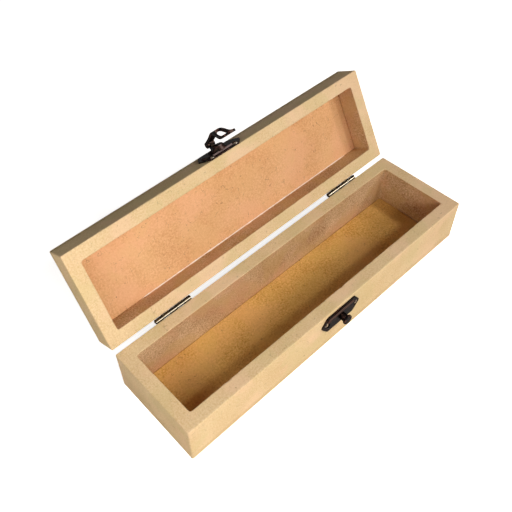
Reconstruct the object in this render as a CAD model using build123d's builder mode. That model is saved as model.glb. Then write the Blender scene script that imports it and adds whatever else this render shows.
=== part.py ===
from build123d import *
from math import cos, radians, sin
import os

# Pencil box in raw MDF, standing open. Two routed frames, each closed by a thin
# glued panel, are joined by a pair of butt hinges and shut by a front latch.
# X runs along the box, the front faces -Y, Z is up, and the origin is the centre
# of the underside. All sizes are in millimetres and degrees.

os.makedirs("parts", exist_ok=True)

# Box
box_length = 220.0
box_width = 60.0
base_height = 30.0
lid_height = 16.0
side_wall = 8.0
end_wall = 8.0
base_panel_thickness = 2.5
lid_panel_thickness = 2.0
cavity_corner_radius = 1.5
outer_corner_radius = 0.8
lid_edge_radius = 0.6
base_edge_radius = 0.6
rim_edge_radius = 0.4
seam_gap = 0.1

# Pose shown: the lid stands open and the hasp leans away from its plate
lid_opening = 118.7
hasp_opening = 20.0

# Hinges
hinge_from_end = 40.5
hinge_length = 25.0
hinge_leaf_width = 10.0
hinge_sheet = 0.6
knuckle_radius = 1.3
knuckle_count = 5
knuckle_gap = 0.2
hinge_pin_radius = 0.6
hinge_pin_overhang = 0.4
barrel_clearance = 0.1
running_clearance = 0.05
pin_end_rounding = 0.8
hinge_nail_inset = 4.5
leaf_corner_radius = 1.0

# Nails
nail_shank_radius = 0.6
nail_head_radius = 1.4
nail_head_height = 0.6
nail_length = 5.5
nail_hole_clearance = 0.03
nail_tip_clearance = 0.3
nail_seat_margin = 0.3

# Pressed plates of the catch, on the base, and of the latch, on the lid
plate_width = 31.4
plate_top_width = 22.5
plate_bottom_width = 21.0
plate_height = 13.0
plate_sheet = 0.8
plate_field_rise = 0.8
plate_field_inset = 2.0
plate_field_taper = 40.0
plate_corner_radius = 2.0
catch_centre_below_rim = 9.2
latch_centre_above_rim = 6.9
catch_nail_spacing = 23.4
catch_nail_rise = 1.0
latch_nail_spacing = 17.4
latch_nail_rise = -4.8

# Catch knob, a mushroom stud riveted through its plate
knob_neck_radius = 2.3
knob_neck_length = 3.0
knob_head_radius = 3.1
knob_head_height = 1.8
knob_head_edge = 0.6
knob_tail_radius = 1.0
rivet_head_radius = 1.7
rivet_head_height = 0.8
rivet_pocket_clearance = 0.3

# Boss pressed out of the latch plate, which the hasp's arch passes over
boss_length = 9.6
boss_width = 8.0
boss_rise = 2.8
boss_shoulder = 1.7
boss_edge_radius = 1.2
boss_above_plate_centre = -0.5

# Hasp and its pivot
pivot_above_rim = 14.2
pivot_out = 4.2
latch_pin_radius = 0.8
latch_pin_overhang = 0.4
latch_eye_radius = 1.9
fixed_eye_width = 2.0
fixed_eye_foot = 3.2
hasp_eye_width = 1.4
latch_eye_gap = 0.15
hasp_eye_clearance = 0.3
hasp_sheet = 1.5
hasp_waist_width = 4.8
hasp_waist_drop = 7.0
hasp_shoulder_drop = 2.0
hasp_bar_width = 1.5
hasp_hole_clearance = 0.3
hasp_hole_top_radius = 2.0
hasp_hole_top_drop = 15.5
hasp_lip_width = 2.8
hasp_lip_length = 0.9
hasp_corner_radius = 1.0
# Side view of its sheet's middle, latched, as (drop below the pivot, distance out from it)
hasp_side_view = [(0, 1.15), (4.0, 1.9), (8.1, 3.1), (12.5, 4.1), (16.3, 2.6), (20.0, 0.0), (23.4, -0.8), (28.9, -0.8)]

back_y = box_width / 2
front_y = -box_width / 2
hinge_y = back_y + knuckle_radius + barrel_clearance
plate_crown = plate_sheet + plate_field_rise
knob_drop = pivot_above_rim + catch_centre_below_rim

# Frames: the base's own, and the lid's, turned about the hinge axis. In both,
# local z is measured from the seam, so z = 0 is the rim of either half.
base_frame_plane = Plane(origin=(0, 0, base_height), x_dir=(1, 0, 0), z_dir=(0, 0, 1))
opening = radians(lid_opening)
lid_turn = Plane(origin=(0, hinge_y, base_height), x_dir=(1, 0, 0), z_dir=(0, sin(opening), cos(opening)))
lid_frame_plane = Plane(lid_turn.from_local_coords((0, -hinge_y, 0)), x_dir=lid_turn.x_dir, z_dir=lid_turn.z_dir)


def level(frame, height):
    """A plane parallel to the rim, at a height above the seam."""
    return frame.offset(height)


def facing_front(frame, y, height):
    """A plane whose normal leaves the front of the box, with its own y upwards."""
    origin = frame.from_local_coords((0, y, height))
    return Plane(origin=origin, x_dir=frame.x_dir, z_dir=-frame.y_dir)


def facing_back(frame, y, height):
    """A plane whose normal leaves the back of the box, with its own y upwards."""
    origin = frame.from_local_coords((0, y, height))
    return Plane(origin=origin, x_dir=-frame.x_dir, z_dir=frame.y_dir)


def section(frame, x, y, height):
    """A plane across the box, with its own x towards the back and y upwards."""
    origin = frame.from_local_coords((x, y, height))
    return Plane(origin=origin, x_dir=frame.y_dir, z_dir=frame.x_dir)


# Where the nails go, as (x, height above the seam)
hinge_centre = box_length / 2 - hinge_from_end
hinge_centres = {"left": -hinge_centre, "right": hinge_centre}
hinge_nail_x = hinge_length / 2 - hinge_nail_inset
hinge_nail_height = (hinge_leaf_width + knuckle_radius + barrel_clearance) / 2
nail_hole_radius = nail_shank_radius + nail_hole_clearance
hinge_nail_hole_depth = nail_length - hinge_sheet + nail_tip_clearance
plate_nail_hole_depth = nail_length - plate_sheet + nail_tip_clearance
catch_height = -catch_centre_below_rim
latch_height = latch_centre_above_rim


def hinge_nail_points(side, direction):
    """Nail places of one leaf, with direction -1 for the base and 1 for the lid."""
    centre = hinge_centres[side]
    return [(centre + s * hinge_nail_x, direction * hinge_nail_height) for s in (-1, 1)]


def plate_nail_points(spacing, rise):
    """Nail places of a pressed plate, measured from its centre."""
    return [(s * spacing / 2, rise) for s in (-1, 1)]


catch_nail_points = plate_nail_points(catch_nail_spacing, catch_nail_rise)
latch_nail_points = plate_nail_points(latch_nail_spacing, latch_nail_rise)


def holes(plane, points):
    """Nail holes on a face plane, at points given in that plane."""
    with BuildSketch(plane) as sketch:
        with Locations(points):
            Circle(nail_hole_radius)
    return sketch.sketch


def back_holes(frame, y, direction, sides):
    points = [p for side in sides for p in hinge_nail_points(side, direction)]
    return holes(facing_back(frame, y, 0), [(-x, z) for x, z in points])


# Base
base_frame_height = base_height - base_panel_thickness
with BuildPart() as base_frame:
    with BuildSketch(level(base_frame_plane, 0)):
        RectangleRounded(box_length, box_width, outer_corner_radius)
        RectangleRounded(box_length - 2 * end_wall, box_width - 2 * side_wall, cavity_corner_radius,
                         mode=Mode.SUBTRACT)
    extrude(amount=-base_frame_height)
    fillet(base_frame.faces().sort_by(Axis.Z)[-1].edges(), rim_edge_radius)
    extrude(back_holes(base_frame_plane, back_y, -1, hinge_centres), amount=-hinge_nail_hole_depth,
            mode=Mode.SUBTRACT)
    extrude(holes(facing_front(base_frame_plane, front_y, catch_height), catch_nail_points),
            amount=-plate_nail_hole_depth, mode=Mode.SUBTRACT)
    with BuildSketch(facing_front(base_frame_plane, front_y, catch_height)):
        Circle(rivet_head_radius + rivet_pocket_clearance)
    extrude(amount=-rivet_head_height - rivet_pocket_clearance, mode=Mode.SUBTRACT)
base_frame.part.label = "base_frame"
export_step(base_frame.part, "parts/base_frame.step")

with BuildPart() as base_bottom_panel:
    with BuildSketch(Plane.XY):
        RectangleRounded(box_length, box_width, outer_corner_radius)
    extrude(amount=base_panel_thickness)
    fillet(base_bottom_panel.faces().sort_by(Axis.Z)[0].edges(), base_edge_radius)
base_bottom_panel.part.label = "base_bottom_panel"
export_step(base_bottom_panel.part, "parts/base_bottom_panel.step")

# Lid
lid_up = Axis(lid_frame_plane.origin, lid_frame_plane.z_dir)
lid_frame_height = lid_height - lid_panel_thickness
with BuildPart() as lid_frame:
    with BuildSketch(level(lid_frame_plane, seam_gap)):
        RectangleRounded(box_length, box_width, outer_corner_radius)
        RectangleRounded(box_length - 2 * end_wall, box_width - 2 * side_wall, cavity_corner_radius,
                         mode=Mode.SUBTRACT)
    extrude(amount=lid_frame_height - seam_gap)
    fillet(lid_frame.faces().sort_by(lid_up)[0].edges(), rim_edge_radius)
    extrude(back_holes(lid_frame_plane, back_y, 1, hinge_centres), amount=-hinge_nail_hole_depth,
            mode=Mode.SUBTRACT)
    extrude(holes(facing_front(lid_frame_plane, front_y, latch_height), latch_nail_points),
            amount=-plate_nail_hole_depth, mode=Mode.SUBTRACT)
lid_frame.part.label = "lid_frame"
export_step(lid_frame.part, "parts/lid_frame.step")

with BuildPart() as lid_top_panel:
    with BuildSketch(level(lid_frame_plane, lid_frame_height)):
        RectangleRounded(box_length, box_width, outer_corner_radius)
    extrude(amount=lid_panel_thickness)
    fillet(lid_top_panel.faces().sort_by(lid_up)[-1].edges(), lid_edge_radius)
lid_top_panel.part.label = "lid_top_panel"
export_step(lid_top_panel.part, "parts/lid_top_panel.step")

# Hinges: knuckles alternate along the barrel, and the base leaf has the end ones
knuckle_pitch = hinge_length / knuckle_count
knuckle_bore = hinge_pin_radius + running_clearance
leaf_top = knuckle_radius + barrel_clearance
tab_reach = leaf_top + leaf_corner_radius


def hinge_leaf(frame, side, direction, first_knuckle):
    """One leaf on the outer back face; direction is -1 for the base's and 1 for the lid's."""
    centre_x = hinge_centres[side]
    with BuildPart() as leaf:
        with BuildSketch(facing_back(frame, back_y, direction * (leaf_top + hinge_leaf_width) / 2)):
            with Locations((-centre_x, 0)):
                RectangleRounded(hinge_length, hinge_leaf_width - leaf_top, leaf_corner_radius)
        extrude(amount=hinge_sheet)
        for k in range(first_knuckle, knuckle_count, 2):
            start = centre_x - hinge_length / 2 + k * knuckle_pitch + knuckle_gap / 2
            with BuildSketch(section(frame, start, hinge_y, 0)):
                Circle(knuckle_radius)
                with Locations((back_y - hinge_y + hinge_sheet / 2, direction * tab_reach / 2)):
                    Rectangle(hinge_sheet, tab_reach)
                Circle(knuckle_bore, mode=Mode.SUBTRACT)
            extrude(amount=knuckle_pitch - knuckle_gap)
        extrude(back_holes(frame, back_y + hinge_sheet, direction, [side]), amount=-hinge_sheet,
                mode=Mode.SUBTRACT)
    return leaf


nail_dome_radius = (nail_head_radius**2 + nail_head_height**2) / (2 * nail_head_height)


def half_section(plane, x, y):
    """A plane through a face's normal at a point of it, with its own y outwards."""
    return Plane(origin=plane.from_local_coords((x, y, 0)), x_dir=plane.x_dir,
                 z_dir=plane.x_dir.cross(plane.z_dir))


def nail_group(plane, points):
    """Domed nails driven in along the plane's normal, with their heads' seats on it."""
    with BuildPart() as group:
        for x, y in points:
            half = half_section(plane, x, y)
            with BuildSketch(half):
                with BuildLine():
                    Polyline((0, nail_head_height), (0, -nail_length),
                             (nail_shank_radius, nail_shank_radius - nail_length),
                             (nail_shank_radius, 0), (nail_head_radius, 0))
                    RadiusArc((nail_head_radius, 0), (0, nail_head_height), -nail_dome_radius)
                make_face()
            revolve(axis=Axis(half.origin, half.y_dir))
    return group


for side, centre in hinge_centres.items():
    base_leaf = hinge_leaf(base_frame_plane, side, -1, 0)
    base_leaf.part.label = f"{side}_hinge_base_leaf"
    export_step(base_leaf.part, f"parts/{side}_hinge_base_leaf.step")

    lid_leaf = hinge_leaf(lid_frame_plane, side, 1, 1)
    lid_leaf.part.label = f"{side}_hinge_lid_leaf"
    export_step(lid_leaf.part, f"parts/{side}_hinge_lid_leaf.step")

    base_nails = nail_group(facing_back(base_frame_plane, back_y + hinge_sheet, 0),
                            [(-x, z) for x, z in hinge_nail_points(side, -1)])
    base_nails.part.label = f"{side}_hinge_base_nails"
    export_step(base_nails.part, f"parts/{side}_hinge_base_nails.step")

    lid_nails = nail_group(facing_back(lid_frame_plane, back_y + hinge_sheet, 0),
                           [(-x, z) for x, z in hinge_nail_points(side, 1)])
    lid_nails.part.label = f"{side}_hinge_lid_nails"
    export_step(lid_nails.part, f"parts/{side}_hinge_lid_nails.step")

    with BuildPart() as hinge_pin:
        pin_length = hinge_length + 2 * hinge_pin_overhang
        with BuildSketch(section(base_frame_plane, centre - pin_length / 2, hinge_y, 0)):
            Circle(hinge_pin_radius)
        extrude(amount=pin_length)
        fillet(hinge_pin.edges().filter_by(GeomType.CIRCLE), hinge_pin_overhang * pin_end_rounding)
    hinge_pin.part.label = f"{side}_hinge_pin"
    export_step(hinge_pin.part, f"parts/{side}_hinge_pin.step")

# Plates: a flat hexagon with a raised field, and flat seats in it for the nail heads
plate_corners = [(-plate_width / 2, 0), (-plate_bottom_width / 2, -plate_height / 2),
                 (plate_bottom_width / 2, -plate_height / 2), (plate_width / 2, 0),
                 (plate_top_width / 2, plate_height / 2), (-plate_top_width / 2, plate_height / 2)]


def pressed_plate(plane, nail_points):
    """A plate lying on a face, with its back on the plane."""
    with BuildPart() as plate:
        with BuildSketch(plane) as outline:
            with BuildLine():
                Polyline(*plate_corners, close=True)
            make_face()
            fillet(outline.vertices(), plate_corner_radius)
        extrude(amount=plate_sheet)
        with BuildSketch(plane.offset(plate_sheet)):
            with BuildLine():
                Polyline(*plate_corners, close=True)
            make_face()
            offset(amount=-plate_field_inset)
        extrude(amount=plate_field_rise, taper=plate_field_taper)
        with BuildSketch(plane.offset(plate_sheet)):
            with Locations(nail_points):
                Circle(nail_head_radius + nail_seat_margin)
        extrude(amount=plate_field_rise, mode=Mode.SUBTRACT)
        extrude(holes(plane, nail_points), amount=plate_sheet, mode=Mode.SUBTRACT)
    return plate


catch_face = facing_front(base_frame_plane, front_y, catch_height)
with BuildPart() as catch_plate:
    add(pressed_plate(catch_face, catch_nail_points))
    with BuildSketch(catch_face):
        Circle(knob_tail_radius + nail_hole_clearance)
    extrude(amount=plate_crown, mode=Mode.SUBTRACT)
catch_plate.part.label = "catch_plate"
export_step(catch_plate.part, "parts/catch_plate.step")

catch_plate_nails = nail_group(catch_face.offset(plate_sheet), catch_nail_points)
catch_plate_nails.part.label = "catch_plate_nails"
export_step(catch_plate_nails.part, "parts/catch_plate_nails.step")

# Knob: its shoulder stands on the plate and its tail is riveted over behind it
with BuildPart() as catch_knob:
    knob_head_base = plate_crown + knob_neck_length
    knob_top = knob_head_base + knob_head_height
    half = half_section(catch_face, 0, 0)
    with BuildSketch(half) as knob_profile:
        with BuildLine():
            Polyline((0, -rivet_head_height), (rivet_head_radius, -rivet_head_height), (rivet_head_radius, 0),
                     (knob_tail_radius, 0), (knob_tail_radius, plate_crown), (knob_neck_radius, plate_crown),
                     (knob_neck_radius, knob_head_base), (knob_head_radius, knob_head_base),
                     (knob_head_radius, knob_top), (0, knob_top), close=True)
        make_face()
        fillet(knob_profile.vertices().filter_by_position(Axis.X, knob_head_radius, knob_head_radius),
               knob_head_edge)
    revolve(axis=Axis(half.origin, half.y_dir))
catch_knob.part.label = "catch_knob"
export_step(catch_knob.part, "parts/catch_knob.step")

latch_face = facing_front(lid_frame_plane, front_y, latch_height)
latch_field = latch_face.offset(plate_crown)
with BuildPart() as latch_plate:
    add(pressed_plate(latch_face, latch_nail_points))
    boss_centre = Plane(latch_field.from_local_coords((0, boss_above_plate_centre, 0)),
                        x_dir=latch_field.x_dir, z_dir=latch_field.z_dir)
    with BuildSketch(boss_centre):
        Ellipse(boss_length / 2, boss_width / 2)
    with BuildSketch(boss_centre.offset(boss_rise)):
        Ellipse(boss_length / 2 - boss_shoulder, boss_width / 2 - boss_shoulder)
    loft()
    fillet(latch_plate.edges().sort_by(Axis(latch_field.origin, latch_field.z_dir))[-1], boss_edge_radius)
    with BuildSketch(section(lid_frame_plane, -fixed_eye_width / 2, front_y, 0)):
        with Locations((-pivot_out, pivot_above_rim)):
            Circle(latch_eye_radius)
        with Locations((-plate_sheet / 2, latch_height + plate_height / 2 - fixed_eye_foot / 2)):
            Rectangle(plate_sheet, fixed_eye_foot)
        make_hull()
    extrude(amount=fixed_eye_width)
    with BuildSketch(section(lid_frame_plane, -fixed_eye_width / 2, front_y, 0)):
        with Locations((-pivot_out, pivot_above_rim)):
            Circle(latch_pin_radius)
    extrude(amount=fixed_eye_width, mode=Mode.SUBTRACT)
latch_plate.part.label = "latch_plate"
export_step(latch_plate.part, "parts/latch_plate.step")

latch_plate_nails = nail_group(latch_face.offset(plate_sheet), latch_nail_points)
latch_plate_nails.part.label = "latch_plate_nails"
export_step(latch_plate_nails.part, "parts/latch_plate_nails.step")

# Hasp: its own frame hangs from the pivot, leaning out from the lid's front
leaning = radians(hasp_opening)
pivot = lid_frame_plane.from_local_coords((0, front_y - pivot_out, pivot_above_rim))
hasp_frame_plane = Plane(origin=pivot, x_dir=lid_frame_plane.x_dir,
                         z_dir=lid_frame_plane.y_dir * sin(leaning) + lid_frame_plane.z_dir * cos(leaning))
hasp_notch_width = fixed_eye_width + 2 * latch_eye_gap
hasp_shoulder_width = hasp_notch_width + 2 * hasp_eye_width
hasp_hole_radius = knob_head_radius + hasp_hole_clearance
hasp_loop_width = 2 * (hasp_hole_radius + hasp_bar_width)
hasp_tip_drop = knob_drop + hasp_hole_radius + hasp_bar_width + hasp_lip_length
hasp_front = facing_front(hasp_frame_plane, -hasp_loop_width, 0)


def pear(margin):
    """The loop's pear-shaped outline round the knob's place, larger than the hole by a margin."""
    with BuildSketch() as outline:
        with Locations((0, -knob_drop)):
            Circle(hasp_hole_radius + margin)
        with Locations((0, -hasp_hole_top_drop)):
            Circle(hasp_hole_top_radius + margin)
        make_hull()
    return outline.sketch


with BuildSketch(hasp_front) as hasp_outline:
    with BuildLine():
        Polyline((-hasp_shoulder_width / 2, latch_eye_radius), (-hasp_shoulder_width / 2, -hasp_shoulder_drop),
                 (-hasp_waist_width / 2, -hasp_waist_drop), (-hasp_waist_width / 2, -hasp_hole_top_drop),
                 (hasp_waist_width / 2, -hasp_hole_top_drop), (hasp_waist_width / 2, -hasp_waist_drop),
                 (hasp_shoulder_width / 2, -hasp_shoulder_drop), (hasp_shoulder_width / 2, latch_eye_radius),
                 close=True)
    make_face()
    add(pear(hasp_bar_width))
    with Locations((0, -(knob_drop + hasp_tip_drop) / 2)):
        RectangleRounded(hasp_lip_width, hasp_tip_drop - knob_drop, hasp_corner_radius)

with BuildPart() as latch_hasp:
    with BuildSketch(section(hasp_frame_plane, -hasp_loop_width / 2, 0, 0)):
        with BuildLine():
            Spline(*[(-out, -drop) for drop, out in hasp_side_view])
        trace(line_width=hasp_sheet)
    extrude(amount=hasp_loop_width)
    extrude(hasp_outline.sketch, amount=-2 * hasp_loop_width, mode=Mode.INTERSECT)
    with BuildSketch(hasp_front):
        add(pear(0))
    extrude(amount=-2 * hasp_loop_width, mode=Mode.SUBTRACT)
    with BuildSketch(section(hasp_frame_plane, -hasp_shoulder_width / 2, 0, 0)):
        Circle(latch_eye_radius)
    extrude(amount=hasp_shoulder_width)
    with BuildSketch(section(hasp_frame_plane, -hasp_notch_width / 2, 0, 0)):
        Circle(latch_eye_radius + hasp_eye_clearance)
    extrude(amount=hasp_notch_width, mode=Mode.SUBTRACT)
    with BuildSketch(section(hasp_frame_plane, -hasp_shoulder_width / 2, 0, 0)):
        Circle(latch_pin_radius + running_clearance)
    extrude(amount=hasp_shoulder_width, mode=Mode.SUBTRACT)
latch_hasp.part.label = "latch_hasp"
export_step(latch_hasp.part, "parts/latch_hasp.step")

with BuildPart() as latch_pin:
    pin_length = hasp_shoulder_width + 2 * latch_pin_overhang
    with BuildSketch(section(hasp_frame_plane, -pin_length / 2, 0, 0)):
        Circle(latch_pin_radius)
    extrude(amount=pin_length)
    fillet(latch_pin.edges().filter_by(GeomType.CIRCLE), latch_pin_overhang * pin_end_rounding)
latch_pin.part.label = "latch_pin"
export_step(latch_pin.part, "parts/latch_pin.step")
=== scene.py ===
import math

import bmesh
import bpy
from mathutils import Matrix, Vector, noise


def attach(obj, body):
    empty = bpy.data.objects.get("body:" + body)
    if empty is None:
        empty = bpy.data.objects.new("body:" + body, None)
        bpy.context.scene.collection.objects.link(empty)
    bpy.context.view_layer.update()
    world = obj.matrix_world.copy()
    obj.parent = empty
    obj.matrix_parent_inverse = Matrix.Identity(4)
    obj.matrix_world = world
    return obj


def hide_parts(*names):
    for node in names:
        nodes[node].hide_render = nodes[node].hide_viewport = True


# Looks of a raw MDF pencil box. Lengths here are in millimetres, and MM turns them
# into Blender's metres where a mesh, a node, a lamp or the camera is made.

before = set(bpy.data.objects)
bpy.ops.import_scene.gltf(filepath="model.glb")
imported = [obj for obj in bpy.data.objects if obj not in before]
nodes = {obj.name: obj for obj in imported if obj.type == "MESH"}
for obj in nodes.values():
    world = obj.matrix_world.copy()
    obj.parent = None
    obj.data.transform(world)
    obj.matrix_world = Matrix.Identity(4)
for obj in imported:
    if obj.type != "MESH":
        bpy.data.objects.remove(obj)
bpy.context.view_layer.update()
MM = 0.001

# Sizes that the frames, the panels and the glue share with the CAD part
BOX_LENGTH = 220.0
BOX_WIDTH = 60.0
BASE_HEIGHT = 30.0
LID_HEIGHT = 16.0
WALL = 8.0
BASE_PANEL = 2.5
LID_PANEL = 2.0
OUTER_CORNER = 0.8
CAVITY_CORNER = 1.5
RIM_EDGE = 0.4
PANEL_EDGE = 0.6
SEAM_GAP = 0.1
HINGE_Y = 31.4
LID_OPENING = 118.7


# Finishes

def linear(hex_colour):
    """An sRGB hex value as a linear colour."""
    parts = [int(hex_colour[i:i + 2], 16) / 255 for i in (1, 3, 5)]
    return [c / 12.92 if c <= 0.04045 else ((c + 0.055) / 1.055) ** 2.4 for c in parts] + [1.0]


def add(tree, kind, inputs=None, output=0, **settings):
    """Adds a node with its settings and its values or links, and gives one of its outputs."""
    node = tree.nodes.new("ShaderNode" + kind)
    for name, value in settings.items():
        setattr(node, name, value)
    for name, value in (inputs or {}).items():
        if isinstance(value, bpy.types.NodeSocket):
            tree.links.new(value, node.inputs[name])
        else:
            node.inputs[name].default_value = value
    return node.outputs[output] if node.outputs else None


# Sockets of a Mix node that mixes colours
SHARE, FIRST, SECOND = 0, 6, 7
COLOUR_MIX = {"output": 2, "data_type": "RGBA"}


def finish_material(name, roughness, metallic=0.0):
    """A material with its shader, its node tree and coordinates fixed to the piece."""
    material = bpy.data.materials.new(name)
    material.use_nodes = True
    tree = material.node_tree
    shader = tree.nodes["Principled BSDF"]
    shader.inputs["Roughness"].default_value = roughness
    shader.inputs["Metallic"].default_value = metallic
    return material, tree, shader, add(tree, "TexCoord", output="Object")


def grains(size_mm):
    """The scale that gives a pattern grains of this size."""
    return 1 / (size_mm * MM)


def fibre_bundles(tree, place, spacing_mm, size_mm, share):
    """Scattered dark bundles of bark fibre: 1 inside one, on that share of the cells."""
    cells = {"Vector": place, "Scale": grains(spacing_mm)}
    from_middle = add(tree, "TexVoronoi", cells)
    radius = size_mm / spacing_mm
    inside = add(tree, "MapRange", {"Value": from_middle, "From Min": radius, "From Max": 0.6 * radius})
    picked = add(tree, "SeparateColor", {"Color": add(tree, "TexVoronoi", cells, output="Color")})
    kept = add(tree, "Math", {0: picked, 1: share}, operation="LESS_THAN")
    return add(tree, "Math", {0: inside, 1: kept}, operation="MULTIPLY")


def curled_fibres(tree, place, size_mm, width, kept_above):
    """Loose wood fibres: short curly strokes along the level lines of a wavy grain."""
    waves = add(tree, "TexNoise", {"Vector": place, "Scale": grains(size_mm), "Detail": 1.0,
                                   "Roughness": 0.4, "Distortion": 1.4})
    above_line = add(tree, "Math", {0: waves, 1: 0.5}, operation="SUBTRACT")
    from_line = add(tree, "Math", {0: above_line}, operation="ABSOLUTE")
    line = add(tree, "MapRange", {"Value": from_line, "From Min": width, "From Max": 0.3 * width})
    patches = add(tree, "TexNoise", {"Vector": place, "Scale": grains(0.55 * size_mm), "Detail": 1.0})
    kept = add(tree, "MapRange", {"Value": patches, "From Min": kept_above,
                                  "From Max": kept_above + 0.05})
    return add(tree, "Math", {0: line, 1: kept}, operation="MULTIPLY")


# Bare fibre scatters light nearly evenly and mirrors almost nothing
MDF_ROUGHNESS = 0.78
MDF_SPECULAR = 0.15
# Blotches are as wide as the drifts of one kind of chip in the mat
BLOTCH_MM, PINK_BLOTCH_MM, GREEN_BLOTCH_MM = 28.0, 34.0, 21.0


def mdf(name, pale, deep, speck, blush, moss, contrast, grain_mm, speck_share, relief_mm, fibre):
    """Medium-density fibreboard: wood fibre felted with resin, so it has no grain direction.
    The eye sees soft pinkish and greenish blotches where other wood went into the chips, fine
    mottling by the fibre clumps, and a few dark bark specks."""
    material, tree, shader, place = finish_material(name, MDF_ROUGHNESS)
    shader.inputs["Specular IOR Level"].default_value = MDF_SPECULAR

    drifts = add(tree, "TexNoise", {"Vector": place, "Scale": grains(BLOTCH_MM), "Detail": 2.0,
                                    "Roughness": 0.55})
    blotches = add(tree, "MapRange", {"Value": drifts, "From Min": 0.32, "From Max": 0.68})
    felt = add(tree, "TexNoise", {"Vector": place, "Scale": grains(grain_mm), "Detail": 4.0,
                                  "Roughness": 0.75, "Distortion": 0.2})
    clumps = add(tree, "MapRange", {"Value": felt, "From Min": 0.5 - contrast,
                                    "From Max": 0.5 + contrast})
    strands = add(tree, "TexNoise", {"Vector": place, "Scale": grains(0.42 * grain_mm), "Detail": 2.0,
                                     "Roughness": 0.7, "Distortion": 1.2})
    fibres = add(tree, "MapRange", {"Value": strands, "From Min": 0.3, "From Max": 0.7})
    pink_drifts = add(tree, "TexNoise", {"Vector": place, "Scale": grains(PINK_BLOTCH_MM),
                                         "Detail": 3.0, "Distortion": 0.4})
    pinker = add(tree, "MapRange", {"Value": pink_drifts, "From Min": 0.48, "From Max": 0.62})
    green_drifts = add(tree, "TexNoise", {"Vector": place, "Scale": grains(GREEN_BLOTCH_MM),
                                          "Detail": 3.0, "Distortion": 0.4})
    greener = add(tree, "MapRange", {"Value": green_drifts, "From Min": 0.52, "From Max": 0.40})

    blotch_tone = add(tree, "Math", {0: blotches, 1: 0.34}, operation="MULTIPLY")
    tone = add(tree, "Math", {0: clumps, 1: 0.66, 2: blotch_tone}, operation="MULTIPLY_ADD")
    colour = add(tree, "Mix", {SHARE: tone, FIRST: linear(deep), SECOND: linear(pale)}, **COLOUR_MIX)
    bark = fibre_bundles(tree, place, spacing_mm=7.0, size_mm=0.42, share=speck_share)
    bark_dust = fibre_bundles(tree, place, spacing_mm=2.6, size_mm=0.3, share=speck_share * 0.6)
    curls = curled_fibres(tree, place, size_mm=5.5, width=0.014, kept_above=0.56)
    # Each mark with how strongly it shows and its colour
    marks = [(pinker, 0.55, blush), (greener, 0.45, moss), (fibres, 0.3, deep), (bark, 0.8, speck),
             (bark_dust, 0.45, speck), (curls, fibre, speck)]
    for mark, strength, shade in marks:
        share = add(tree, "Math", {0: mark, 1: strength}, operation="MULTIPLY")
        colour = add(tree, "Mix", {SHARE: share, FIRST: colour, SECOND: linear(shade)}, **COLOUR_MIX)
    tree.links.new(colour, shader.inputs["Base Color"])

    rough = add(tree, "MapRange", {"Value": clumps, "To Min": MDF_ROUGHNESS + 0.06,
                                   "To Max": MDF_ROUGHNESS - 0.06})
    tree.links.new(rough, shader.inputs["Roughness"])
    relief = add(tree, "Math", {0: clumps, 1: fibres}, operation="MULTIPLY")
    bump = add(tree, "Bump", {"Height": relief, "Distance": relief_mm * MM, "Strength": 1.0})
    tree.links.new(bump, shader.inputs["Normal"])
    return material


# Real fibre clumps are well under 1 mm, too fine to show, so all the grains here are drawn
# coarser. The board's pressed faces and its sanded outside look like fine pale felt.
mdf_face = mdf("MDF_sanded_face", pale="#f1deb9", deep="#cfb181", speck="#5d4426", blush="#f3d3b6",
               moss="#d6c796", contrast=0.14, grain_mm=1.0, speck_share=0.14, relief_mm=0.05,
               fibre=0.3)
# A router cuts through the loose core, which is darker, pinker and rougher to the eye.
mdf_core = mdf("MDF_routed_core", pale="#fbe0b6", deep="#95663e", speck="#3f2614", blush="#dcab84",
               moss="#d2b27a", contrast=0.125, grain_mm=1.1, speck_share=0.35, relief_mm=0.16,
               fibre=0.0)
# The thin panels are pressed hard and smooth. The lid's is a warm tan with curled fibres.
mdf_panel = mdf("MDF_thin_panel", pale="#f0c698", deep="#ca9463", speck="#6b3f1e", blush="#ebb791",
                moss="#e4bb88", contrast=0.12, grain_mm=1.1, speck_share=0.24, relief_mm=0.04,
                fibre=0.5)
# The base's is more golden.
mdf_floor = mdf("MDF_thin_panel_golden", pale="#f6cd80", deep="#b58238", speck="#5d3816",
                blush="#e6b476", moss="#deb86a", contrast=0.12, grain_mm=1.2, speck_share=0.28,
                relief_mm=0.05, fibre=0.4)


# Bloom and tarnish spread in spots, and the pressed steel under them is finely pitted
BLOOM_MM, TARNISH_MM, PIT_MM = 1.6, 4.1, 0.5
PIT_DEPTH = 0.05


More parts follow.
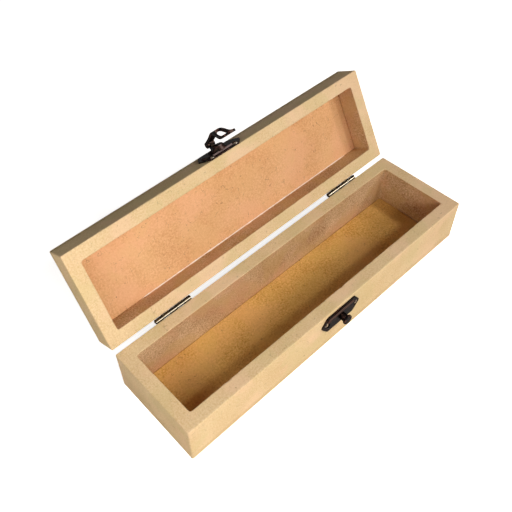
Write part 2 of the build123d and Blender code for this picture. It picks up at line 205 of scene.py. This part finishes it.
def antique_bronze(name, lacquer, rubbed, tarnish, highlight_colour, roughness, gloss, highlight_facing, highlight_from=0.96):
    """Pressed steel plated and blackened as dark antique bronze under thin lacquer.
    The eye sees near-black metal with brown bloom and greenish tarnish in spots.
    Faces turned towards the given direction get a painted highlight, a brighter colour broken up by the
    pits."""
    material, tree, shader, place = finish_material(name, roughness, metallic=0.9)
    shader.inputs["Specular Tint"].default_value = linear(rubbed)
    shader.inputs["Coat Weight"].default_value = gloss
    shader.inputs["Coat Roughness"].default_value = 0.16

    bloom_spots = add(tree, "TexNoise", {"Vector": place, "Scale": grains(BLOOM_MM), "Detail": 4.0,
                                         "Roughness": 0.6, "Distortion": 0.5})
    bloom = add(tree, "MapRange", {"Value": bloom_spots, "From Min": 0.46, "From Max": 0.62})
    green_spots = add(tree, "TexNoise", {"Vector": place, "Scale": grains(TARNISH_MM), "Detail": 2.0,
                                         "Distortion": 0.3})
    green = add(tree, "MapRange", {"Value": green_spots, "From Min": 0.52, "From Max": 0.72,
                                   "To Max": 0.6})
    pits = add(tree, "TexNoise", {"Vector": place, "Scale": grains(PIT_MM), "Detail": 3.0,
                                  "Roughness": 0.6})

    # Painted highlight: faces turned towards the given direction take the brighter colour, as if lit by
    # the lamps
    towards = add(tree, "VectorMath", {0: add(tree, "TexCoord", output="Normal"), 1: highlight_facing},
                  output="Value", operation="DOT_PRODUCT")
    turned_to_highlight = add(tree, "MapRange", {"Value": towards, "From Min": highlight_from,
                                    "From Max": 0.4 * highlight_from + 0.6})
    unpitted = add(tree, "MapRange", {"Value": pits, "From Min": 0.25, "From Max": 0.45})
    painted_highlight = add(tree, "Math", {0: turned_to_highlight, 1: unpitted}, operation="MULTIPLY")

    colour = linear(lacquer)
    for layer, shade in ((bloom, rubbed), (green, tarnish), (painted_highlight, highlight_colour)):
        colour = add(tree, "Mix", {SHARE: layer, FIRST: colour, SECOND: linear(shade)}, **COLOUR_MIX)
    tree.links.new(colour, shader.inputs["Base Color"])

    rough = add(tree, "MapRange", {"Value": pits, "From Min": 0.3, "From Max": 0.7,
                                   "To Min": roughness - 0.1, "To Max": roughness + 0.14})
    tree.links.new(rough, shader.inputs["Roughness"])
    bump = add(tree, "Bump", {"Height": pits, "Distance": PIT_DEPTH * MM, "Strength": 0.8})
    tree.links.new(bump, shader.inputs["Normal"])
    return material


PLATE_BRONZE = {"lacquer": "#0d090a", "rubbed": "#4b322b", "tarnish": "#22251b", "roughness": 0.38,
                "gloss": 0.05}
# The catch has a painted highlight along its upper bevel, and the open lid's latch one along its bevel
# by the rim.
catch_bronze = antique_bronze("Antique_bronze_catch", **PLATE_BRONZE, highlight_colour="#3a2d28",
                              highlight_facing=(0.0, -0.71, 0.71))
latch_bronze = antique_bronze("Antique_bronze_latch", **PLATE_BRONZE, highlight_colour="#7d6b68",
                              highlight_facing=(0.0, -0.28, 0.96))
# The hinge barrels get a painted highlight, a narrow bright stripe on the side towards the front.
hinge_bronze = antique_bronze("Antique_bronze_painted_highlight_barrel", lacquer="#1a1410", rubbed="#4a3b28",
                              tarnish="#23241a", highlight_colour="#ece2cb", roughness=0.34, gloss=0.1,
                              highlight_facing=(0.0, -0.80, 0.60), highlight_from=0.977)
# Nails are plated more thinly, and their domes get a painted highlight on the side that faces up.
nail_metal = antique_bronze("Nail_bronzed_steel", lacquer="#2d231d", rubbed="#a08a70",
                            tarnish="#3c3a2a", highlight_colour="#fbf3e2", roughness=0.24, gloss=0.5,
                            highlight_facing=(0.0, -0.28, 0.96))


def dried_glue():
    """White wood glue that has dried to a thin, slightly glossy, milky pink skin."""
    material, tree, shader, place = finish_material("Wood_glue_dried", roughness=0.35)
    skin = add(tree, "TexNoise", {"Vector": place, "Scale": grains(3.0), "Detail": 3.0})
    streaks = add(tree, "MapRange", {"Value": skin, "From Min": 0.35, "From Max": 0.65})
    colour = add(tree, "Mix", {SHARE: streaks, FIRST: linear("#f8dac6"), SECOND: linear("#fff6ee")},
                 **COLOUR_MIX)
    tree.links.new(colour, shader.inputs["Base Color"])
    bump = add(tree, "Bump", {"Height": streaks, "Distance": 0.1 * MM, "Strength": 0.6})
    tree.links.new(bump, shader.inputs["Normal"])
    return material


glue = dried_glue()


# MDF frames: rings made by one cutter, so a profile goes round the whole board

CORNER_STEPS = 6
EDGE_STEPS = 4
RIM_ROWS = 8
MESH_STEP = 1.3

# Unevenness of the board: how deep it is, and how far its waves are apart
SANDED_DEPTH, SANDED_WAVE = 0.02, 9.0
FINE_FELT_DEPTH, FINE_FELT_WAVE = 0.05, 1.6
COARSE_FELT_DEPTH, COARSE_FELT_WAVE = 0.04, 4.0
FRAY_DEPTH, FRAY_WAVE, FRAY_LEVEL = 0.45, 2.3, 0.25
FRAYED_BAND = 1.0
# How far apart two frames' unevenness lies in the noise, so that no two boards are alike
NEXT_BOARD = Vector((91.7, 37.3, 11.9))


def ring_points(inset):
    """Points round the board at an inset from its outside, always the same number."""
    share = inset / WALL
    radius = OUTER_CORNER + (CAVITY_CORNER - OUTER_CORNER) * share
    half_x, half_y = BOX_LENGTH / 2 - inset, BOX_WIDTH / 2 - inset
    corners = []
    for turn, (sx, sy) in enumerate(((1, -1), (1, 1), (-1, 1), (-1, -1))):
        angles = [math.radians(90 * (turn - 1 + k / CORNER_STEPS)) for k in range(CORNER_STEPS + 1)]
        corners.append([(sx * (half_x - radius) + radius * math.cos(a),
                         sy * (half_y - radius) + radius * math.sin(a)) for a in angles])
    points = []
    for turn, corner in enumerate(corners):
        following = corners[(turn + 1) % 4][0]
        last = corner[-1]
        steps = int((BOX_WIDTH if turn % 2 == 0 else BOX_LENGTH) / MESH_STEP)
        points += corner
        points += [(last[0] + (following[0] - last[0]) * k / steps,
                    last[1] + (following[1] - last[1]) * k / steps) for k in range(1, steps)]
    return points


def quarter_turn(first, last):
    """The angles of a rounded edge from one of its steps to another."""
    return [math.radians(90 * k / EDGE_STEPS) for k in range(first, last + 1)]


def frame_profile(height):
    """The wall's section as (inset, depth below the rim, outward lean, kind), from the
    outside foot over the rim to the inside foot."""
    wall_rows = int(height / MESH_STEP)
    depths = [RIM_EDGE + (height - RIM_EDGE) * k / wall_rows for k in range(wall_rows + 1)]
    rows = [(0.0, depth, (-1, 0), "face") for depth in reversed(depths)]
    for a in quarter_turn(1, EDGE_STEPS - 1):
        rows.append((RIM_EDGE * (1 - math.cos(a)), RIM_EDGE * (1 - math.sin(a)),
                     (-math.cos(a), -math.sin(a)), "edge"))
    for k in range(RIM_ROWS + 1):
        inset = RIM_EDGE + (WALL - 2 * RIM_EDGE) * k / RIM_ROWS
        rows.append((inset, 0.0, (0, -1), "face"))
    for a in quarter_turn(1, EDGE_STEPS - 1):
        rows.append((WALL - RIM_EDGE * (1 - math.sin(a)), RIM_EDGE * (1 - math.cos(a)),
                     (math.sin(a), -math.cos(a)), "edge"))
    rows += [(WALL, depth, (1, 0), "core") for depth in depths]
    return rows


def unevenness(spot, depth, kind):
    """How far the surface stands out at a spot of the board, which is always 0 or less."""
    amount = SANDED_DEPTH * noise.noise(spot / SANDED_WAVE) - SANDED_DEPTH
    if kind == "core":
        amount += (FINE_FELT_DEPTH * noise.noise(spot / FINE_FELT_WAVE)
                   + COARSE_FELT_DEPTH * noise.noise(spot / COARSE_FELT_WAVE) - FINE_FELT_DEPTH)
    if kind == "edge" or (kind == "core" and depth < FRAYED_BAND):
        amount -= max(0.0, noise.noise(spot / FRAY_WAVE) - FRAY_LEVEL) * FRAY_DEPTH
    return amount


def knocked(x, y, depth, knocks):
    """How deep the knocks are at a point of the frame."""
    total = 0.0
    for knock_x, knock_y, radius, deep in knocks:
        gap = math.hypot(x - knock_x, y - knock_y)
        if gap < radius and depth < radius:
            total += deep * (1 - (gap / radius) ** 2) * (1 - depth / radius)
    return total


def bridge(mesh, lower, upper):
    """Faces all round between two rings of as many points."""
    count = len(lower)
    return [mesh.faces.new((lower[k], lower[(k + 1) % count], upper[(k + 1) % count], upper[k]))
            for k in range(count)]


def linked_piece(name, mesh, *finishes):
    """Makes a scene object from finished mesh work."""
    bmesh.ops.recalc_face_normals(mesh, faces=mesh.faces)
    data = bpy.data.meshes.new(name)
    mesh.to_mesh(data)
    mesh.free()
    piece = bpy.data.objects.new(name, data)
    bpy.context.scene.collection.objects.link(piece)
    for finish in finishes:
        data.materials.append(finish)
    return piece


def routed_frame(name, height, upwards, board, knocks):
    """A frame with its rim at z 0 of its own axes and its body above or below that.
    Knocks are small chips, as (x, y, radius, depth)."""
    mesh = bmesh.new()
    rings = []
    up = 1 if upwards else -1
    for inset, depth, lean, kind in frame_profile(height):
        ring = []
        for (x, y), (x_in, y_in) in zip(ring_points(inset), ring_points(inset + 1e-3)):
            inward = Vector((x_in - x, y_in - y)).normalized()
            spot = Vector((x, y, depth)) + board * NEXT_BOARD
            amount = unevenness(spot, depth, kind) - knocked(x, y, depth, knocks)
            ring.append(mesh.verts.new(((x + inward.x * lean[0] * amount) * MM,
                                        (y + inward.y * lean[0] * amount) * MM,
                                        (depth + lean[1] * amount) * up * MM)))
        rings.append((ring, kind))
    for (lower, kind), (upper, next_kind) in zip(rings, rings[1:] + rings[:1]):
        for face in bridge(mesh, lower, upper):
            face.material_index = 1 if "core" in (kind, next_kind) else 0
            face.smooth = True
    return linked_piece(name, mesh, mdf_face, mdf_core)


# How far the inner finish of a panel reaches under the walls
PANEL_LAP = 0.3


def glued_panel(name, thickness, inner_finish):
    """A thin panel with an eased outer edge, lying on z 0 of its own axes with its outer
    face, and its glued face above. Only the part inside the walls shows its own finish."""
    mesh = bmesh.new()
    rows = [(PANEL_EDGE * (1 - math.sin(a)), PANEL_EDGE * (1 - math.cos(a)))
            for a in quarter_turn(0, EDGE_STEPS)]
    rows += [(0.0, thickness), (WALL - PANEL_LAP, thickness)]
    rings = [[mesh.verts.new((x * MM, y * MM, z * MM)) for x, y in ring_points(inset)]
             for inset, z in rows]
    for lower, upper in zip(rings, rings[1:]):
        bridge(mesh, lower, upper)
    mesh.faces.new(rings[0])
    mesh.faces.new(rings[-1]).material_index = 1
    return linked_piece(name, mesh, mdf_face, inner_finish)


def stands_for(piece, node, body):
    """Puts a piece on its body in place of a CAD node."""
    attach(piece, body)
    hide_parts(node)


to_hinge = Matrix.Translation(Vector((0, HINGE_Y, BASE_HEIGHT)) * MM)
lid_place = to_hinge @ Matrix.Rotation(math.radians(-LID_OPENING), 4, "X") @ Matrix.Translation(
    Vector((0, -HINGE_Y, 0)) * MM)
turned_over = Matrix.Translation((0, 0, LID_HEIGHT * MM)) @ Matrix.Rotation(math.pi, 4, "X")

base_walls = routed_frame("base_walls", BASE_HEIGHT - BASE_PANEL, upwards=False, board=1,
                          knocks=[(9.0, -22.0, 1.2, 0.5), (-96.0, -30.0, 1.0, 0.3)])
base_walls.location = (0, 0, BASE_HEIGHT * MM)
stands_for(base_walls, "base_frame", "base")

lid_walls = routed_frame("lid_walls", LID_HEIGHT - LID_PANEL - SEAM_GAP, upwards=True, board=2,
                         knocks=[(-86.0, -30.0, 1.3, 0.7)])
lid_walls.matrix_world = lid_place @ Matrix.Translation((0, 0, SEAM_GAP * MM))
stands_for(lid_walls, "lid_frame", "lid")

base_panel = glued_panel("base_panel", BASE_PANEL, mdf_floor)
stands_for(base_panel, "base_bottom_panel", "base")

lid_panel = glued_panel("lid_panel", LID_PANEL, mdf_panel)
lid_panel.matrix_world = lid_place @ turned_over
stands_for(lid_panel, "lid_top_panel", "lid")


# Glue squeezed out where the lid's panel meets its back wall

GLUE_STEP = 0.8
GLUE_SUNK = 0.12
GLUE_SIZE, GLUE_LEAST = 0.48, 0.05
# How much the bead swells and shrinks, and over what length
SLOW_SWELL, SLOW_LENGTH = 0.3, 6.0
QUICK_SWELL, QUICK_LENGTH = 0.16, 1.7
FADING_STEPS = 6


def glue_bead(name, start, end, seed):
    """An uneven bead along the corner, fading out at both ends and slightly sunk into it."""
    mesh = bmesh.new()
    wall_y, panel_z = BOX_WIDTH / 2 - WALL, LID_HEIGHT - LID_PANEL
    rings = []
    steps = int((end - start) / GLUE_STEP)
    for k in range(steps + 1):
        x = start + (end - start) * k / steps
        fade = min(1.0, k / FADING_STEPS, (steps - k) / FADING_STEPS)
        slow = SLOW_SWELL * noise.noise(Vector((x / SLOW_LENGTH, seed, 0)))
        quick = QUICK_SWELL * noise.noise(Vector((x / QUICK_LENGTH, seed, 3)))
        size = max((GLUE_SIZE + slow + quick) * fade, GLUE_LEAST)
        # Distances from the wall and from the panel, round the bead's section
        section = [(-GLUE_SUNK, -GLUE_SUNK), (size, -GLUE_SUNK), (0.86 * size, 0.3 * size),
                   (0.4 * size, 0.62 * size), (-GLUE_SUNK, 1.1 * size)]
        rings.append([mesh.verts.new((x * MM, (wall_y - out) * MM, (panel_z - down) * MM))
                      for out, down in section])
    for first, second in zip(rings, rings[1:]):
        for face in bridge(mesh, first, second):
            face.smooth = True
    mesh.faces.new(rings[0])
    mesh.faces.new(rings[-1])
    piece = linked_piece(name, mesh, glue)
    piece.matrix_world = lid_place
    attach(piece, "lid")


glue_bead("lid_glue_bead", start=-78.0, end=92.0, seed=4.0)


# Finishes of the CAD pieces that stay

SOFTENED = 0.1
SHARP_DEGREES = 35


def dress(node, finish, softened=0.0):
    """Gives a CAD piece one finish, and its sharp edges the softness of tumbled metal."""
    piece = nodes[node]
    piece.data.materials.clear()
    piece.data.materials.append(finish)
    if softened:
        edges = piece.modifiers.new("softened_edges", "BEVEL")
        edges.limit_method = "ANGLE"
        edges.angle_limit = math.radians(SHARP_DEGREES)
        edges.width = softened * MM
        edges.segments = 2


for side in ("left", "right"):
    for part in ("base_leaf", "lid_leaf", "pin"):
        dress(f"{side}_hinge_{part}", hinge_bronze)
    for part in ("base_nails", "lid_nails"):
        dress(f"{side}_hinge_{part}", nail_metal)
dress("latch_pin", latch_bronze)
dress("latch_plate", latch_bronze, SOFTENED)
for node in ("latch_hasp", "catch_plate", "catch_knob"):
    dress(node, catch_bronze, SOFTENED)
for node in ("catch_plate_nails", "latch_plate_nails"):
    dress(node, nail_metal)


# Studio: a pale floor, five small soft lamps and a dim plain room that looks white to the eye

FLOOR_SIZE = 6000.0
# Just under the box, so that the two faces don't meet
FLOOR_DROP = 0.05
FLOOR_GLOW = 0.84
# The room's light is a little stronger from the front
ROOM_BACK, ROOM_FRONT = 0.03, 0.04
ROOM_FRONT_DIRECTION = (-0.25, -0.85, 0.45)
LAMP_AIM = Vector((0, 20, 30))


def seen_directly(tree):
    """1 for what the camera sees, directly or in metal or glass."""
    share = add(tree, "LightPath", output="Is Camera Ray")
    for kind in ("Is Glossy Ray", "Is Transmission Ray"):
        share = add(tree, "Math", {0: share, 1: add(tree, "LightPath", output=kind)},
                    operation="MAXIMUM")
    return share


def white_paper():
    """Matt white paper that takes the box's shadow and glows to white only to the eye."""
    paint = bpy.data.materials.new("Floor_matt_white_paper")
    paint.use_nodes = True
    tree = paint.node_tree
    tree.nodes.clear()
    bounce = add(tree, "BsdfDiffuse", {"Color": linear("#ece9e3")})
    paper = add(tree, "BsdfDiffuse", {"Color": linear("#fbfbfb")})
    glow = add(tree, "Emission", {"Color": linear("#fdfdfd"), "Strength": FLOOR_GLOW})
    bright = add(tree, "AddShader", {0: paper, 1: glow})
    shown = add(tree, "MixShader", {0: seen_directly(tree), 1: bounce, 2: bright})
    add(tree, "OutputMaterial", {"Surface": shown})
    return paint


def studio_floor():
    """A wide sheet of that paper, which isn't part of the box."""
    mesh = bmesh.new()
    bmesh.ops.create_grid(mesh, x_segments=1, y_segments=1, size=FLOOR_SIZE / 2 * MM)
    data = bpy.data.meshes.new("studio_floor")
    mesh.to_mesh(data)
    mesh.free()
    data.materials.append(white_paper())
    floor = bpy.data.objects.new("studio_floor", data)
    floor.location.z = -FLOOR_DROP * MM
    bpy.context.scene.collection.objects.link(floor)


def studio_room():
    """A world that lights the box dimly and shows as a white backdrop."""
    world = bpy.data.worlds.new("studio")
    bpy.context.scene.world = world
    world.use_nodes = True
    tree = world.node_tree
    tree.nodes.clear()
    to_front = add(tree, "VectorMath", {0: add(tree, "TexCoord"), 1: ROOM_FRONT_DIRECTION},
                   output="Value", operation="DOT_PRODUCT")
    strength = add(tree, "MapRange", {"Value": to_front, "From Min": -0.6, "From Max": 1.0,
                                      "To Min": ROOM_BACK, "To Max": ROOM_FRONT})
    room_light = add(tree, "Background", {"Color": linear("#fffdf8"), "Strength": strength})
    backdrop = add(tree, "Background", {"Color": linear("#fdfdfd"), "Strength": 1.0})
    shown = add(tree, "MixShader", {0: seen_directly(tree), 1: room_light, 2: backdrop})
    add(tree, "OutputWorld", {"Surface": shown})


def softbox(name, place, width, height, watts, colour="#fff4e9"):
    """A rectangular lamp that faces the box. Without a colour of its own it is a warm white."""
    data = bpy.data.lights.new(name, "AREA")
    data.shape = "RECTANGLE"
    data.size = width * MM
    data.size_y = height * MM
    data.energy = watts
    data.color = linear(colour)[:3]
    lamp = bpy.data.objects.new(name, data)
    lamp.location = Vector(place) * MM
    lamp.rotation_mode = "QUATERNION"
    lamp.rotation_quaternion = (Vector(place) - LAMP_AIM).to_track_quat("Z", "Y")
    bpy.context.scene.collection.objects.link(lamp)


studio_floor()
studio_room()

# A lamp close to the front makes the nearest corner the brightest, and two low ones light the
# left end. One far to the right throws the soft shadows inside, and one higher up on that side
# lights the rims and the base's floor.
softbox("near_front_lamp", (-148, -365, 308), 120, 120, watts=0.93)
softbox("low_left_lamp", (-250, -250, 120), 80, 80, watts=0.18)
softbox("left_end_lamp", (-220, 0, 150), 80, 80, watts=0.1)
softbox("far_right_lamp", (784, -758, 708), 160, 300, watts=4.3)
softbox("high_right_lamp", (409, -654, 919), 160, 160, watts=4.0, colour="#fff8ef")


# Camera, matched to the edges of the box in the photograph

CAMERA_PLACE = Vector((-182.56, -155.47, 333.50))
CAMERA_RIGHT = Vector((0.7417425, -0.6694255, -0.0410813))
CAMERA_UP = Vector((0.5166383, 0.5312434, 0.6714651))
CAMERA_BACK = Vector((-0.4276717, -0.5192784, 0.7398966))

camera_data = bpy.data.cameras.new("camera")
camera_data.sensor_width = 36
camera_data.lens = 47.065
camera_data.shift_x = 0.06055
camera_data.shift_y = -0.05859
camera = bpy.data.objects.new("camera", camera_data)
bpy.context.scene.collection.objects.link(camera)
camera_turn = Matrix((CAMERA_RIGHT, CAMERA_UP, CAMERA_BACK)).transposed().to_4x4()
camera.matrix_world = Matrix.Translation(CAMERA_PLACE * MM) @ camera_turn
bpy.context.scene.camera = camera
bpy.context.scene.view_settings.view_transform = "Standard"
